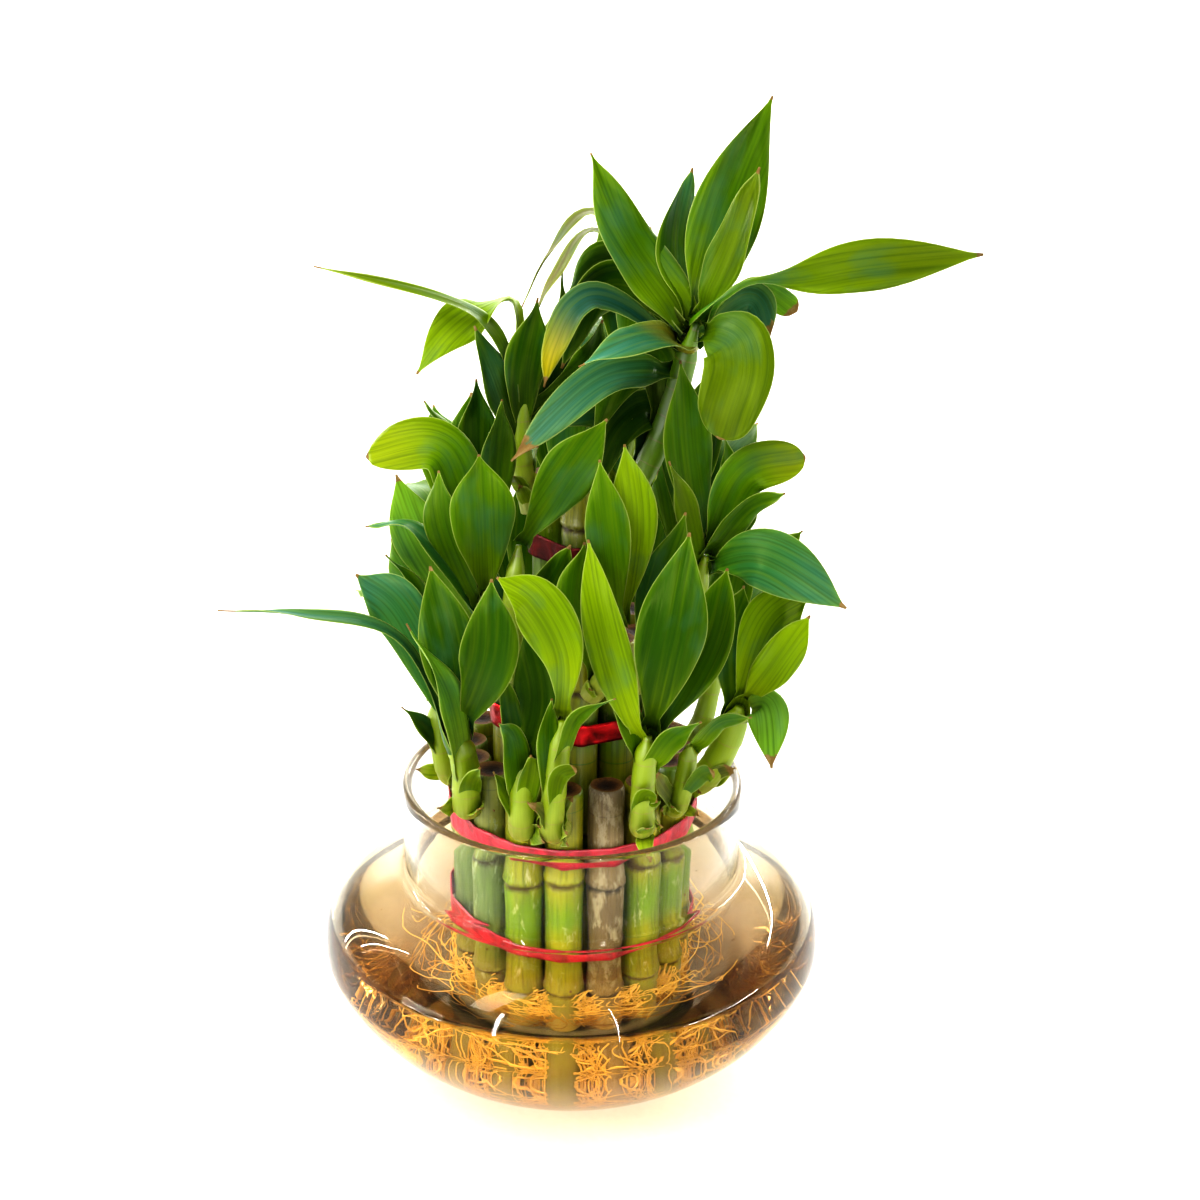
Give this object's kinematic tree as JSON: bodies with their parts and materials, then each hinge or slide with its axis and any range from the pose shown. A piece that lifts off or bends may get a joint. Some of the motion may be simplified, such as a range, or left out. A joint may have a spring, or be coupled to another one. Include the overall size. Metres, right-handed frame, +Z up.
{
  "type": "lucky bamboo in a glass bowl",
  "caption": "Lucky bamboo canes tied in rising tiers with red ribbon, leafy shoots all round, standing in shallow water in a squat round glass bowl with an upright collar.",
  "frame": {"origin": "middle of the bowl's flat foot, on the surface it stands on", "axes": "+Z up along the middle of the bowl and canes, -Y towards the show side, +X to the right of it"},
  "size_m": [0.2163, 0.176, 0.3063],
  "materials": {
    "clear_glass": "clear, polished, faint amber tint",
    "water": "clear still water, tea-coloured",
    "root": "wet, fibrous",
    "cane": "living green bark, satin",
    "weathered_cane": "dry weathered bark, matte",
    "ribbon": "satin, slightly metallic",
    "leaf": "living leaf, waxy, semi-gloss"
  },
  "bodies": {
    "root": {"bowl": "clear_glass", "water": "water", "roots": "root", "cane_lower_1": "cane", "cane_lower_2": "weathered_cane", "cane_lower_3": "cane", "cane_lower_4": "cane", "cane_lower_5": "cane", "cane_lower_6": "cane", "cane_lower_7": "cane", "cane_lower_8": "cane", "cane_lower_9": "cane", "cane_lower_10": "cane", "cane_lower_11": "cane", "cane_lower_12": "cane", "cane_lower_13": "cane", "cane_lower_14": "cane", "cane_lower_15": "cane", "cane_lower_16": "cane", "cane_middle_1": "cane", "cane_middle_2": "cane", "cane_middle_3": "cane", "cane_middle_4": "cane", "cane_middle_5": "cane", "cane_middle_6": "cane", "cane_middle_7": "cane", "cane_middle_8": "cane", "cane_middle_9": "cane", "cane_middle_10": "cane", "cane_top_1": "cane", "cane_top_2": "cane", "cane_top_3": "cane", "ribbon_lower_low": "ribbon", "ribbon_lower_high": "ribbon", "ribbon_middle": "ribbon", "ribbon_top": "ribbon", "shoot_top_right": "leaf", "shoot_top_left": "leaf", "shoot_middle_left": "leaf", "shoot_middle_front_left": "leaf", "shoot_middle_front": "leaf", "shoot_middle_right": "leaf", "shoot_lower_left": "leaf", "shoot_lower_far_left": "leaf", "shoot_lower_front_left": "leaf", "shoot_lower_front": "leaf", "shoot_lower_front_right": "leaf", "shoot_lower_right": "leaf", "shoot_lower_far_right": "leaf", "shoot_top_back": "leaf", "shoot_middle_back_right": "leaf", "shoot_middle_back": "leaf", "shoot_middle_back_left": "leaf", "shoot_lower_back_1": "leaf", "shoot_lower_back_2": "leaf", "shoot_lower_back_3": "leaf", "shoot_lower_back_4": "leaf"}
  },
  "joints": []
}
